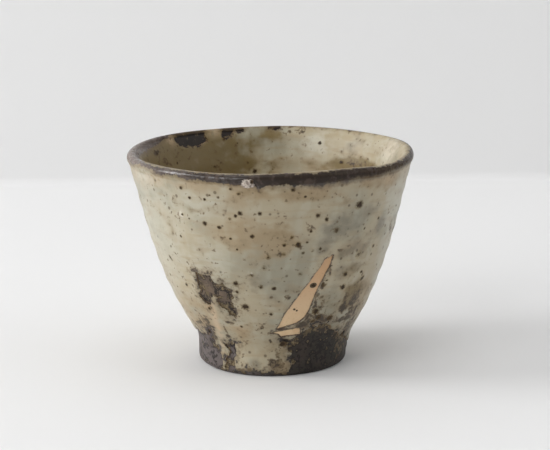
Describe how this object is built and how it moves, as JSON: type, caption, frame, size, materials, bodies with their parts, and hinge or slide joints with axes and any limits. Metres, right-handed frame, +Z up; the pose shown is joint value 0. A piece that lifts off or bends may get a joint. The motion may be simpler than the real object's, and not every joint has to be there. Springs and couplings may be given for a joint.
{
  "type": "yunomi tea cup",
  "caption": "Handleless stoneware tea cup: a flared bowl on a low foot ring, with an ash glaze, a dark lip, a blade-shaped bare gap and iron spots.",
  "frame": {"origin": "middle of the foot ring, on the surface that the cup stands on", "axes": "+Z up along the axis of the cup, -Y towards the front, where the bare gap and the feldspar grain are, +X to the right seen from the front"},
  "size_m": [0.092, 0.092, 0.0695],
  "materials": {
    "clay": "matte",
    "slip": "matte",
    "glaze": "satin",
    "lip_glaze": "satin",
    "iron": "satin",
    "feldspar": "satin"
  },
  "bodies": {
    "root": {"thrown_bowl": "clay", "foot_ring": "clay", "outer_slip": "slip", "inner_slip": "slip", "outer_glaze": "glaze", "inner_glaze": "glaze", "lip_band": "lip_glaze", "iron_spots_outside": "iron", "iron_spots_inside": "iron", "feldspar_grain": "feldspar"}
  },
  "joints": []
}
